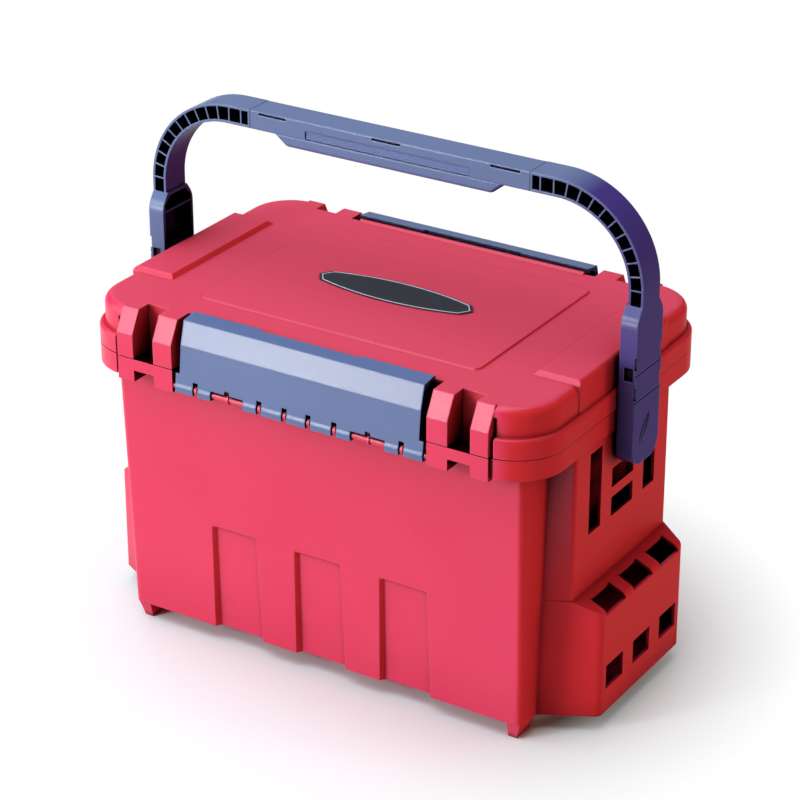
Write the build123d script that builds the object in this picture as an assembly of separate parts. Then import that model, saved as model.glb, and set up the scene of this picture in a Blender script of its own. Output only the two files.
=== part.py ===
from build123d import *
import os
from math import cos, radians, sin, sqrt

# A seat box: a tub with side racks, a lid held by a wide buckle front and rear, and a carrying handle.
# Millimetres. X runs along the long front, Y from front to rear, Z up from the floor the feet stand on.

# Tub
tub_bottom = 17.0
tub_half_x_low = 219.0
tub_draft_x = 2.0
tub_half_y_low = 132.0
tub_draft_y = 9.3
tub_corner = 7.0
wall = 3.0
floor_thickness = 4.0
rim_height = 20.0
rim_top = 300.0
rim_overhang_x = 25.0
rim_overhang_y = 22.7
rim_corner = 50.0

# Recessed panels of the front and rear walls, open at the bottom
panel_place_shares = (-1, 0, 1)
panel_pitch = 94.0
panel_height = 109.0
panel_half_low = 28.0
panel_half_high = 26.0
panel_depth_low = 5.5
panel_depth_high = 4.0
panel_slope = 4.0
panel_lip = 0.3

# Feet
foot_inner_inset_x = 17.0
foot_top_inset_x = 3.0
foot_tip_inset_x = 8.0
foot_top_inset_y = 1.5
foot_tip_inset_y = 5.5
foot_top_length = 30.0
foot_tip_length = 23.0

# Brackets beside the buckles: a ledge with two legs on the tub, two ribs on the lid
bracket_width = 62.0
bracket_inset = 47.0
bracket_proud = 2.0
first_rib_width = 21.0
second_rib_width = 18.0
ledge_thickness = 11.5
bracket_leg_drop = 3.0
bay_depth = 17.0

# Lid
lid_gap = 0.5
band_height = 18.5
lid_height = 45.5
dome_step_x = 5.0
dome_step_y = 6.0
dome_corner = 45.0
dome_edge = 9.0
band_edge = 3.5
bevel_height = 22.0
bevel_run = 11.5
pocket_depth = 27.0
groove_width = 3.5
groove_depth = 11.0
groove_drop = 10.0
rim_groove_depth = 2.0
bay_wall_gap = 6.0
seal_inset = 22.0
skirt_depth = 8.0
swing_clearance = 0.6
swing_edge_shares = (0, 0.35, 0.65, 0.85, 1)
seat_gap_x = 47.0
seat_gap_y = 26.0
seat_corner = 8.0
seat_rise = 1.5
seat_slope = 45.0
pad_length = 42.0
pad_corner_gap = 34.0
pad_rise = 4.0
pad_edge = 5.0
pad_relief = 1.0
rib_thickness = 2.5
rib_depth = 14.0
long_rib_shares = (-0.5, 0, 0.5)
cross_rib_shares = (-0.8, -0.4, 0, 0.4, 0.8)

# Lid bars, round beads along the lid's front and rear edge, held in the buckles' hooks
lid_bar_inset = 28.0
lid_bar_drop = 1.5
lid_bar_radius = 3.5

# Emblem plate
emblem_half_x = 84.5
emblem_half_y = 22.5
emblem_shoulder_x = 77.0
emblem_shoulder_y = 11.0
emblem_thickness = 0.8

# Buckles
buckle_gap = 8.2
tab_gap = 3.7
tab_drop = 2.0
buckle_wall = 3.0
buckle_foot_out = 5.0
buckle_foot_drop = 4.8
bend_low_in = 4.8
bend_low_drop = 20.0
bend_high_in = 10.9
bend_high_rise = 2.3
flange_rise = 4.7
flange_relief_half = 52.0
flange_relief_depth = 2.5
flange_relief_slope = 6.0
buckle_rib_depth = 9.0
buckle_rib_shares = (-0.72, -0.45, -0.2, 0.2, 0.45, 0.72)
hook_clearance = 0.3
hook_wall = 2.5
hook_upper_angle = 35.0
hook_lower_angle = -70.0

# Hinge bars on the tub that the buckles turn on
hinge_bar_inset = 2.2
hinge_bar_rise = 4.2
hinge_bar_radius = 3.5
hinge_clearance = 0.1
knuckle_wall = 1.7
mouth_turn_shares = (0, 0.25, 0.5, 0.75, 1)
knuckle_mouth_angle = 80.0
lug_place_shares = (0.1, 0.314, 0.59, 0.862)
window_place_share = 0.59
window_half = 18.0
window_height = 5.0
notch_half = 2.75
notch_height = 8.5
lug_half = 1.3
lug_height = 5.0
lug_radius = 4.6

# Side racks
rack_inset = 2.0
rack_taper = 18.0
rack_root_inset_high = 38.0
rack_root_inset_low = 25.0
rack_edge = 4.0
shelf_height = 118.0
shelf_fall = 11.0
block_depth = 26.0
block_taper = 28.5
block_edge = 8.0
slot_gap = 20.5
slot_width = 22.0
slot_height = 80.5
slot_margin = 8.0
square_rows = 2
square_half_y = 20.5
square_height = 19.5
square_drop = 79.0
square_pitch = 29.5
hole_margin = 10.0
hole_place_shares = (-1, 0, 1)
hole_web = 19.9
hole_rise = 24.5
hole_height = 24.5
shelf_hole_inset = 7.5
shelf_hole_drop = 3.5
shelf_hole_extra = 2.0

# Handle
pivot_drop = 10.0
leg_gap = 2.5
leg_width = 17.0
leg_half_y = 24.0
leg_corner = 16.0
leg_wall = 3.0
leg_below = 24.0
arm_straight = 11.5
shoulder_edge = 22.0
neck_rise = 12.0
arm_half_y = 15.5
arm_thickness = 15.0
arm_flange = 2.4
arm_web = 3.0
arm_rib = 1.5
arm_bend = 92.0
arm_inner_bend = 74.0
arm_rib_count = 11
arm_first_rib_angle = 2.0
arm_last_rib_angle = 90.0
arm_run = 23.5
arm_end_wall = 2.0
arm_end_cell = 10.0
handle_reach = 233.5
grip_height = 18.0
grip_edge = 1.0
grip_wall = 3.0
slit_place_shares = (-0.83, 0, 0.83)
slit_half = 15.0
slit_height = 2.2
slit_drop = 1.2
slit_depth = 2.2
inset_margin = 36.0
inset_height = 8.5
inset_rise = 0.6
inset_corner = 2.0
inset_depth = 1.0
palm_height = 11.0
palm_inset = 26.0
palm_slant = 14.0
palm_corner = 8.0
palm_edge = 3.5
leg_rib_shares = (0.36, 0.62, 0.88)
leg_groove_shares = (0.42, 0.59)
leg_groove = 1.2
leg_groove_depth = 0.8
leg_notch_depth = 2.0
leg_notch_height = 12.0
leg_notch_shares = (0.44, 0.63)
leg_window_rise = 61.0
leg_window_height = 13.0
leg_window_width = 9.0
mark_top_y = 4.5
mark_top_rise = 23.0
mark_low_y = -13.8
mark_low_drop = 3.0
mark_bow_share = 0.13
mark_width_share = 0.075
mark_depth = 0.8

# Handle pivots
stud_radius = 6.0
stud_clearance = 0.1
stud_collar_radius = 9.5
stud_head_radius = 9.0
stud_head = 3.0
leg_clearance = 0.4
leg_boss_radius = 11.0

# One overrun for every cut
overrun = 5.0

# Sizes that follow from the ones above
tub_half_x_high = tub_half_x_low + tub_draft_x
tub_half_y_high = tub_half_y_low + tub_draft_y
rim_low = rim_top - rim_height
rim_half_x = tub_half_x_high + rim_overhang_x
rim_half_y = tub_half_y_high + rim_overhang_y
panel_top = tub_bottom + panel_height
bracket_end = rim_half_x - bracket_inset
bracket_start = bracket_end - bracket_width
bracket_face_y = rim_half_y + bracket_proud
ledge_low = rim_top - ledge_thickness
leg_bottom = rim_low - bracket_leg_drop
bay_rim_y = rim_half_y - bay_depth
lid_low = rim_top + lid_gap
lid_band_top = lid_low + band_height
lid_top = lid_low + lid_height
dome_half_x = rim_half_x - dome_step_x
dome_half_y = rim_half_y - dome_step_y
bevel_low = lid_top - bevel_height
bevel_top_y = bracket_face_y - bevel_run
pocket_y = bracket_face_y - pocket_depth
groove_y = rim_half_y - groove_depth
groove_top = lid_top - groove_drop
lid_bar_y = rim_half_y - lid_bar_inset
lid_bar_z = lid_top - lid_bar_drop
bay_wall_y = lid_bar_y - bay_wall_gap
seal_y = rim_half_y - seal_inset
pad_inner_x = dome_half_x - pad_length
pad_half_y = dome_half_y - dome_corner - pad_corner_gap
seat_half_x = pad_inner_x - seat_gap_x
seat_half_y = bay_wall_y - seat_gap_y
hinge_bar_y = rim_half_y - hinge_bar_inset
hinge_bar_z = rim_low + hinge_bar_rise
buckle_half = bracket_start - buckle_gap
tab_half = bracket_start - tab_gap
tab_top = rim_top - tab_drop
buckle_foot_y = hinge_bar_y + buckle_foot_out
buckle_foot_z = hinge_bar_z - buckle_foot_drop
bend_low_y = buckle_foot_y - bend_low_in
bend_low_z = lid_top - bend_low_drop
bend_high_y = buckle_foot_y - bend_high_in
bend_high_z = lid_top + bend_high_rise
flange_top = lid_top + flange_rise
rack_x = rim_half_x - rack_inset
block_x = rack_x + block_depth
rack_root_half_high = tub_half_y_low - rack_root_inset_high
rack_root_half_low = tub_half_y_low - rack_root_inset_low
rack_half_y = rack_root_half_low - rack_taper
block_half_y = rack_root_half_low - block_taper
shelf_root_z = tub_bottom + shelf_height
shelf_edge_z = shelf_root_z - shelf_fall
slot_inner_y = square_half_y + slot_gap
slot_outer_y = slot_inner_y + slot_width
slot_high = rim_low - slot_margin
slot_low = slot_high - slot_height
pivot_z = rim_low - pivot_drop
square_low = pivot_z - square_drop
hole_count = len(hole_place_shares)
hole_half_y = (2 * (block_half_y - hole_margin) - (hole_count - 1) * hole_web) / (2 * hole_count)
hole_pitch = 2 * hole_half_y + hole_web
shelf_hole_half_y = hole_half_y + shelf_hole_extra
hole_low = tub_bottom + hole_rise
shelf_hole_x = rack_x + shelf_hole_inset
shelf_hole_z = shelf_edge_z - shelf_hole_drop
leg_inner_x = rim_half_x + leg_gap
leg_outer_x = leg_inner_x + leg_width
leg_low = pivot_z - leg_below
handle_top = pivot_z + handle_reach
arm_bend_z = handle_top - arm_bend
neck_z = arm_bend_z - arm_straight
shoulder_z = neck_z - neck_rise
arm_bend_x = leg_outer_x - arm_bend
arm_end_x = arm_bend_x - arm_run
arm_end_rib_x = arm_end_x + arm_end_cell
grip_low = handle_top - grip_height
palm_low = grip_low - palm_height
palm_half_high = arm_end_x - palm_inset
palm_half_low = palm_half_high - palm_slant
inset_half = palm_half_high - inset_margin
leg_window_low = pivot_z + leg_window_rise
mark_top_z = pivot_z + mark_top_rise
mark_low_z = pivot_z - mark_low_drop
swing_drop = lid_bar_z - lid_low
hook_radius = lid_bar_radius + hook_clearance
hook_outer_radius = hook_radius + hook_wall
flange_edge_y = lid_bar_y + hook_radius * cos(radians(hook_upper_angle))
bore_radius = hinge_bar_radius + hinge_clearance
knuckle_radius = bore_radius + knuckle_wall
pad_top = lid_top + pad_rise
seat_top = lid_top + seat_rise
arm_inner_x = leg_outer_x - arm_thickness
arm_inner_bend_x = arm_inner_x - arm_inner_bend
arm_inner_bend_z = grip_low - arm_inner_bend
far_y = bracket_face_y + overrun
far_z = pad_top + overrun


def plate(half_x, half_y, corner, low, high):
    """Upright block with rounded corners, centred on the Z axis."""
    outline = Pos(0, 0, low) * RectangleRounded(2 * half_x, 2 * half_y, corner)
    return extrude(outline, high - low)


def block(x_span, y_span, z_span):
    """Box between two limits along each axis."""
    spans = (x_span, y_span, z_span)
    centre = [(low + high) / 2 for low, high in spans]
    return Pos(*centre) * Box(*[high - low for low, high in spans])


def rod(radius, x_span, y, z):
    """Round bar along X."""
    turned = Rot(0, 90, 0) * Cylinder(radius, x_span[1] - x_span[0])
    return Pos((x_span[0] + x_span[1]) / 2, y, z) * turned


def along_x(outline, x_span):
    """Outline drawn in Y and Z, carried along X."""
    return extrude(Plane.YZ.offset(x_span[0]) * outline, x_span[1] - x_span[0])


def polygon(*points):
    """Closed outline through the points."""
    return make_face(Polyline(*points, close=True))


def around(centre, half):
    """Span that reaches half to each side of a centre."""
    return (centre - half, centre + half)


def even(half):
    """Span from minus half to half."""
    return around(0, half)


def front_and_rear(part):
    """The rear part with its image at the front."""
    return part + mirror(part, about=Plane.XZ)


def both_ends(part):
    """The right part with its image on the left."""
    return part + mirror(part, about=Plane.YZ)


def between(low, high, share):
    """Value at a share of the way from low to high."""
    return low + (high - low) * share


def tub_share(height):
    """How far up the tub's wall a height lies."""
    return (height - tub_bottom) / (rim_top - tub_bottom)


def tub_half_y(height):
    """Half depth of the drafted tub at a height."""
    return between(tub_half_y_low, tub_half_y_high, tub_share(height))


def tub_form(inset, low, high):
    """Drafted body of the tub between two heights, its walls set in by inset."""
    sections = []
    for height in (low, high):
        half_x = between(tub_half_x_low, tub_half_x_high, tub_share(height)) - inset
        half_y = tub_half_y(height) - inset
        outline = RectangleRounded(2 * half_x, 2 * half_y, tub_corner - inset)
        sections.append(Pos(0, 0, height) * outline)
    return loft(sections, ruled=True)


def wall_panels(grow):
    """Wedges that set the recessed panels into the rear wall, grown for the inner face."""
    wedges = Part()
    for place in panel_place_shares:
        sections = []
        for height in (tub_bottom - overrun, panel_top + grow, panel_top + panel_slope + grow):
            share = (height - tub_bottom) / (panel_top - tub_bottom)
            half = between(panel_half_low, panel_half_high, share) + grow
            depth = between(panel_depth_low, panel_depth_high, share) + grow
            if height > panel_top + grow:
                depth = panel_lip + grow
            floor = half - panel_slope
            face_y = tub_half_y(height)
            outline = polygon(
                (-floor, face_y - depth),
                (floor, face_y - depth),
                (half, face_y),
                (half, face_y + overrun),
                (-half, face_y + overrun),
                (-half, face_y),
            )
            sections.append(Pos(place * panel_pitch, 0, height) * outline)
        wedges += loft(sections, ruled=True)
    return front_and_rear(wedges)


def rim_edge_y(x):
    """Half depth of the rim at a distance along the box, round its corner."""
    return rim_half_y - rim_corner + sqrt(rim_corner**2 - (x - rim_half_x + rim_corner) ** 2)


def swing_room(grow):
    """Room under the lid's edge that the lid turns through, a turned form about the lid bar."""
    def reach(edge_y):
        return sqrt((edge_y - lid_bar_y) ** 2 + swing_drop**2) + swing_clearance + grow

    start = bracket_start - swing_clearance - grow
    step = bracket_end + swing_clearance + grow
    end = rim_half_x - rim_corner + sqrt(rim_corner**2 - (lid_bar_y - rim_half_y + rim_corner) ** 2)
    stations = [between(step, end, share) for share in swing_edge_shares]
    arc_points = [(x, reach(rim_edge_y(x))) for x in stations]
    ribs_reach = reach(bracket_face_y)
    outline = make_face(
        [
            Polyline((end, 0), (start, 0), (start, ribs_reach), (step, ribs_reach), arc_points[0]),
            Spline(*arc_points),
            Line(arc_points[-1], (end, 0)),
        ]
    )
    section = Plane(origin=(0, lid_bar_y, lid_bar_z), x_dir=(1, 0, 0), z_dir=(0, -1, 0))
    axis = Axis((0, lid_bar_y, lid_bar_z), (1, 0, 0))
    return front_and_rear(both_ends(revolve(section * outline, axis)))


def foot_section(x_span, y_span, height):
    """Level section of a foot between two sides, at a height."""
    outline = polygon(
        (x_span[0], y_span[0]), (x_span[1], y_span[0]), (x_span[1], y_span[1]), (x_span[0], y_span[1])
    )
    return Pos(0, 0, height) * outline


def build_foot():
    """Right rear corner foot, tapered to its tip on the floor."""
    inner_x = tub_half_x_low - foot_inner_inset_x
    tip_y = tub_half_y_low - foot_tip_inset_y
    top_y = tub_half_y_low - foot_top_inset_y
    tip_x = tub_half_x_low - foot_tip_inset_x
    top_x = tub_half_x_low - foot_top_inset_x
    tip = foot_section((inner_x, tip_x), (tip_y - foot_tip_length, tip_y), 0)
    top = foot_section((inner_x, top_x), (top_y - foot_top_length, top_y), tub_bottom)
    return loft([tip, top], ruled=True)


def hinge_bar():
    """Bar low on the rear rim, carried by lugs and by the bracket legs."""
    bar = rod(hinge_bar_radius, even(bracket_start + wall), hinge_bar_y, hinge_bar_z)
    for share in lug_place_shares:
        x_span = around(share * buckle_half, lug_half)
        lug = block(x_span, (bay_rim_y - wall, hinge_bar_y), around(hinge_bar_z, lug_height / 2))
        lug += rod(lug_radius, x_span, hinge_bar_y, hinge_bar_z)
        bar += both_ends(lug)
    return bar


def bracket_leg_spans():
    """Spans along X of the two legs or ribs of a bracket."""
    first = (bracket_start, bracket_start + first_rib_width)
    second = (bracket_end - second_rib_width, bracket_end)
    return first, second


def tub_bracket():
    """Ledge with two hollow legs at the right rear."""
    root_y = tub_half_y_low
    bracket = block((bracket_start, bracket_end), (root_y, bracket_face_y), (ledge_low, rim_top))
    for x_span in bracket_leg_spans():
        bracket += block(x_span, (root_y, bracket_face_y), (leg_bottom, rim_top))
    return bracket


def tub_bracket_hollow():
    """Inside of the two legs, open downwards."""
    hollow = Part()
    for low, high in bracket_leg_spans():
        y_span = (tub_half_y_low, bracket_face_y - wall)
        hollow += block((low + wall, high - wall), y_span, (leg_bottom - overrun, rim_top - wall))
    return hollow


def build_tub():
    """Open box with drafted walls and floor, its long walls set in at the recessed panels."""
    inside = tub_form(wall, tub_bottom + floor_thickness, rim_top + overrun) - wall_panels(wall)
    return tub_form(0, tub_bottom, rim_top) - inside - wall_panels(0) - swing_room(0)


def rim_end():
    """Mitred space over the right end of the rim, which parts the rim into four sides."""
    corner_x = tub_half_x_low - tub_corner
    corner_y = tub_half_y_low - tub_corner
    reach = rim_half_x
    far_x = corner_x + reach
    outline = polygon(
        (corner_x, -corner_y), (far_x, -corner_y - reach), (far_x, corner_y + reach), (corner_x, corner_y)
    )
    return extrude(Pos(0, 0, leg_bottom - overrun) * outline, rim_top - leg_bottom + 2 * overrun)


def build_rim():
    """Hollow rim round the tub's mouth, with the brackets and hinge bars of both buckles."""
    rim = plate(rim_half_x, rim_half_y, rim_corner, rim_low, rim_top)
    bay = block(even(bracket_start), (bay_rim_y, far_y), (rim_low - overrun, rim_top + overrun))
    notch_x = (bracket_start + first_rib_width, bracket_end - second_rib_width)
    notch = block(notch_x, (tub_half_y_low, far_y), (rim_low - overrun, ledge_low))
    rim -= front_and_rear(bay + both_ends(notch))
    rim += front_and_rear(both_ends(tub_bracket()))
    under = plate(
        rim_half_x - wall, rim_half_y - wall, rim_corner - wall, rim_low - overrun, rim_top - wall
    )
    under -= block(even(bracket_end), even(far_y), (rim_low - 2 * overrun, rim_top))
    under += front_and_rear(both_ends(tub_bracket_hollow()))
    under -= swing_room(wall)
    rim = rim - under - swing_room(0) - tub_form(0, tub_bottom, rim_top + overrun)
    groove_x = (bracket_end, bracket_end + groove_width)
    groove = block(groove_x, (rim_half_y - rim_groove_depth, far_y), (rim_low - overrun, rim_top + overrun))
    return rim - front_and_rear(both_ends(groove)) + front_and_rear(hinge_bar())


def rack_form(inset, out_x, half_y, low, high):
    """Tapering housing against the tub's right side, between two heights."""
    sections = []
    root_x = tub_half_x_low - wall
    for height in (low, high):
        root = between(rack_root_half_low, rack_root_half_high, tub_share(height)) - inset
        face_x = out_x - inset
        face = half_y - inset
        corners = ((root_x, -root), (face_x, -face), (face_x, face), (root_x, root))
        sections.append(Pos(0, 0, height) * polygon(*corners))
    return loft(sections, ruled=True)


def build_rack_panel():
    """Upper side rack: a hood against the tub with slots and squares for hooks."""
    outer = rack_form(0, rack_x, rack_half_y, shelf_root_z, rim_low)
    edges = outer.edges().filter_by_position(Axis.X, rack_x - rack_edge, rack_x + rack_edge)
    upright = edges.filter_by_position(Axis.Z, shelf_root_z + rack_edge, rim_low - rack_edge)
    outer = fillet(upright, rack_edge)
    inner = rack_form(wall, rack_x, rack_half_y, shelf_root_z - overrun, rim_low + overrun)
    panel = outer - inner - tub_form(0, tub_bottom, rim_top)
    through = (rack_x - wall - overrun, rack_x + overrun)
    slot = block(through, (slot_inner_y, slot_outer_y), (slot_low, slot_high))
    panel -= front_and_rear(slot)
    for row in range(square_rows):
        low = square_low + row * square_pitch
        panel -= block(through, even(square_half_y), (low, low + square_height))
    return panel - rod(stud_radius + stud_clearance, through, 0, pivot_z)


def shelf_cut(inset):
    """Space above the sloping shelf of the foot block."""
    slope = (shelf_root_z - shelf_edge_z) / (block_x - rack_x)
    start_x = tub_half_x_low - wall
    end_x = block_x + overrun
    outline = polygon(
        (start_x, shelf_root_z + overrun),
        (start_x, shelf_root_z - inset),
        (rack_x, shelf_root_z - inset),
        (end_x, shelf_root_z - inset - slope * (end_x - rack_x)),
        (end_x, shelf_root_z + overrun),
    )
    return extrude(Plane.XZ * outline, rack_root_half_low + overrun, both=True)


def build_rack_block():
    """Lower side rack: a protruding foot block with two rows of holes under a sloping shelf."""
    outer = rack_form(0, block_x, block_half_y, tub_bottom, shelf_root_z) - shelf_cut(0)
    edges = outer.edges().filter_by_position(Axis.X, block_x - block_edge, block_x + block_edge)
    outer = fillet(edges.filter_by_position(Axis.Z, tub_bottom + block_edge, shelf_root_z), block_edge)
    inner = rack_form(wall, block_x, block_half_y, tub_bottom + wall, shelf_root_z) - shelf_cut(wall)
    body = outer - inner - tub_form(0, tub_bottom, rim_top)
    body -= rack_form(wall, rack_x, rack_half_y, shelf_root_z - wall - overrun, shelf_root_z + overrun)
    face = (block_x - wall - overrun, block_x + overrun)
    for share in hole_place_shares:
        y = share * hole_pitch
        body -= block(face, around(y, hole_half_y), (hole_low, hole_low + hole_height))
        shelf_z = (shelf_hole_z, shelf_root_z + overrun)
        body -= block((shelf_hole_x, block_x + overrun), around(y, shelf_hole_half_y), shelf_z)
    return body


def build_stud():
    """Stud through the right rack panel that the handle's leg turns on."""
    inner_x = rack_x - wall
    collar_x = leg_inner_x - leg_clearance
    stud = rod(stud_radius, (inner_x - stud_head, leg_outer_x - leg_wall - leg_clearance), 0, pivot_z)
    stud += rod(stud_collar_radius, (rack_x, collar_x), 0, pivot_z)
    return stud + rod(stud_head_radius, (inner_x - stud_head, inner_x), 0, pivot_z)


def lid_bay(grow):
    """Room for the rear buckle, cut into the lid's edge."""
    x_span = even(bracket_start + grow)
    if grow:
        return block(x_span, (bay_wall_y - grow, far_y), (lid_low - overrun, far_z))
    bay = block(x_span, (bay_wall_y, far_y), (lid_low + wall, lid_top - wall))
    bay += block(x_span, (lid_bar_y, far_y), (lid_top - wall, far_z))
    return bay + block(x_span, (seal_y, far_y), (lid_low - overrun, lid_low + wall))


def lid_pockets(grow):
    """Pocket between the right rear ribs, and the groove beside them."""
    z_span = (lid_low - overrun, far_z)
    y_span = (pocket_y - grow, far_y)
    first, second = bracket_leg_spans()
    pocket = block((first[1] - grow, second[0] + grow), y_span, z_span)
    groove_x = (bracket_end - grow, bracket_end + groove_width + grow)
    return pocket + block(groove_x, (groove_y - grow, far_y), (lid_low - overrun, groove_top + grow))


def lid_rib_outline(inset):
    """Side view of a bracket rib, bevelled at its top."""
    base = lid_low - (overrun if inset else 0)
    return polygon(
        (bay_wall_y, base),
        (bracket_face_y - inset, base),
        (bracket_face_y - inset, bevel_low),
        (bevel_top_y - inset, lid_top - inset),
        (bay_wall_y, lid_top - inset),
    )


def lid_ribs(inset):
    """The two bracket ribs at the right rear."""
    ribs = Part()
    for low, high in bracket_leg_spans():
        ribs += along_x(lid_rib_outline(inset), (low + inset, high - inset))
    return ribs


def seat_pad():
    """Raised pad along the lid's right end, carried over its rounded edge."""
    out_x = dome_half_x + pad_relief
    side = make_face(
        [
            Polyline(
                (out_x, pad_top - pad_edge),
                (out_x, lid_band_top),
                (dome_half_x - wall, lid_band_top),
                (dome_half_x - wall, lid_top - wall),
                (pad_inner_x, lid_top - wall),
                (pad_inner_x - pad_rise, lid_top),
                (pad_inner_x, pad_top),
                (out_x - pad_edge, pad_top),
            ),
            RadiusArc((out_x - pad_edge, pad_top), (out_x, pad_top - pad_edge), pad_edge),
        ]
    )
    ends = polygon(
        (-pad_half_y - pad_rise, lid_band_top),
        (-pad_half_y - pad_rise, lid_top),
        (-pad_half_y, pad_top),
        (pad_half_y, pad_top),
        (pad_half_y + pad_rise, lid_top),
        (pad_half_y + pad_rise, lid_band_top),
    )
    length = extrude(Plane.XZ * side, pad_half_y + pad_rise, both=True)
    return length & along_x(ends, (pad_inner_x - pad_rise, out_x))


def lid_top_ribs():
    """Grid of ribs under the lid that stiffens it as a seat."""
    half_x = dome_half_x - 2 * wall
    half_y = bay_wall_y - wall / 2
    z_span = (lid_top - wall - rib_depth, lid_top - wall / 2)
    grid = Part()
    for share in long_rib_shares:
        grid += block(even(half_x), around(share * half_y, rib_thickness / 2), z_span)
    for share in cross_rib_shares:
        grid += block(around(share * half_x, rib_thickness / 2), even(half_y), z_span)
    return grid


def build_lid():
    """Hollow lid with rim band, dome, seat panel, pads, bracket ribs and edge bars."""
    band = plate(rim_half_x, rim_half_y, rim_corner, lid_low, lid_band_top)
    band = fillet(band.edges().group_by(Axis.Z)[-1], band_edge)
    dome = plate(dome_half_x, dome_half_y, dome_corner, lid_low, lid_top)
    dome = fillet(dome.edges().group_by(Axis.Z)[-1], dome_edge)
    cuts = front_and_rear(lid_bay(0) + both_ends(lid_pockets(0)))
    shell = (band + dome) - cuts + front_and_rear(both_ends(lid_ribs(0)))
    inner_band = plate(
        rim_half_x - wall, rim_half_y - wall, rim_corner - wall, lid_low - overrun, lid_band_top - wall
    )
    inner_dome = plate(
        dome_half_x - wall, dome_half_y - wall, dome_corner - wall, lid_low - overrun, lid_top - wall
    )
    walls = front_and_rear(lid_bay(wall) + both_ends(lid_pockets(wall)))
    inside = inner_band + inner_dome - walls + front_and_rear(both_ends(lid_ribs(wall)))
    shell -= inside
    skirt_x = (bracket_start + wall, bracket_end + groove_width + wall)
    skirt = block(skirt_x, (pocket_y - wall, pocket_y), (lid_low - skirt_depth, lid_low + wall))
    shell += front_and_rear(both_ends(skirt))
    seat_outline = Pos(0, 0, lid_top) * RectangleRounded(2 * seat_half_x, 2 * seat_half_y, seat_corner)
    shell += extrude(seat_outline, seat_rise, taper=seat_slope)
    shell += both_ends(seat_pad()) + lid_top_ribs()
    bar = rod(lid_bar_radius, even(buckle_half - buckle_wall), lid_bar_y, lid_bar_z)
    return shell + front_and_rear(bar)


def build_emblem():
    """Thin plate with bowed long sides and pointed ends."""
    x = emblem_shoulder_x
    y = emblem_shoulder_y
    rear_side = ThreePointArc((x, y), (0, emblem_half_y), (-x, y))
    front_side = ThreePointArc((-x, -y), (0, -emblem_half_y), (x, -y))
    left_end = Polyline((-x, y), (-emblem_half_x, 0), (-x, -y))
    right_end = Polyline((x, -y), (emblem_half_x, 0), (x, y))
    outline = make_face([rear_side, left_end, front_side, right_end])
    return extrude(Pos(0, 0, seat_top) * outline, emblem_thickness)


def open_ring(y, z, inner, outer, first_angle, last_angle):
    """Ring in the side view, kept from the first angle to the last, measured from outwards."""
    mouth_turn = 360 + first_angle - last_angle
    rim = [last_angle + mouth_turn * share for share in mouth_turn_shares]
    fan = [(2 * outer * cos(radians(a)), 2 * outer * sin(radians(a))) for a in rim]
    ring = Circle(outer) - Circle(inner) - polygon((0, 0), *fan)
    return Pos(y, z) * ring


def buckle_rib_outline():
    """Inner stiffening rib of a buckle, between its bends."""
    foot_share = (tab_top - buckle_foot_z) / (bend_low_z - buckle_foot_z)
    low_y = between(buckle_foot_y, bend_low_y, foot_share)
    middle = buckle_wall / 2
    return polygon(
        (low_y - middle, tab_top),
        (bend_low_y - middle, bend_low_z),
        (bend_high_y - middle, bend_high_z - middle),
        (bend_high_y - buckle_rib_depth, bend_high_z - middle),
        (bend_low_y - buckle_rib_depth, bend_low_z),
        (low_y - buckle_wall, tab_top),
    )


def flange_relief():
    """Shallow relief with slanted ends in the inner edge of the top flange."""
    edge_y = flange_edge_y - hook_wall
    deep_y = flange_edge_y + flange_relief_depth
    wide = flange_relief_half + flange_relief_slope
    narrow = flange_relief_half
    outline = polygon((-wide, edge_y), (wide, edge_y), (narrow, deep_y), (-narrow, deep_y))
    low = bend_high_z - buckle_wall
    return extrude(Pos(0, 0, low) * outline, flange_top + overrun - low)


def build_buckle():
    """Rear buckle: bent plate hinged at its foot, with a snap hook under its top flange."""
    outline = polygon(
        (buckle_foot_y, buckle_foot_z),
        (bend_low_y, bend_low_z),
        (bend_high_y, bend_high_z),
        (flange_edge_y, flange_top),
        (flange_edge_y, flange_top - buckle_wall),
        (bend_high_y - buckle_wall, bend_high_z - buckle_wall),
        (bend_low_y - buckle_wall, bend_low_z),
        (buckle_foot_y - buckle_wall, buckle_foot_z),
    )
    hook = open_ring(
        lid_bar_y, lid_bar_z, hook_radius, hook_outer_radius, hook_lower_angle, hook_upper_angle
    )
    mouth = knuckle_mouth_angle / 2
    knuckle = open_ring(hinge_bar_y, hinge_bar_z, bore_radius, knuckle_radius, mouth - 180, 180 - mouth)
    bore = Pos(hinge_bar_y, hinge_bar_z) * Circle(bore_radius)
    body = along_x(outline + hook + knuckle - bore, even(tab_half))
    upper = (tab_top, flange_top + overrun)
    body -= both_ends(block((buckle_half, tab_half + overrun), (bay_wall_y, far_y), upper))
    for share in buckle_rib_shares:
        body += along_x(buckle_rib_outline(), around(share * buckle_half, rib_thickness / 2))
    body += both_ends(along_x(buckle_rib_outline(), (buckle_half - buckle_wall, buckle_half)))
    cuts = Part()
    y_span = (bay_rim_y, far_y)
    low = buckle_foot_z - overrun
    for share in lug_place_shares:
        x = share * buckle_half
        cuts += block(around(x, notch_half), y_span, (low, hinge_bar_z + notch_height))
    window_x = window_place_share * buckle_half
    cuts += block(around(window_x, window_half), y_span, (low, hinge_bar_z + window_height))
    return body - both_ends(cuts) - flange_relief()


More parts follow.
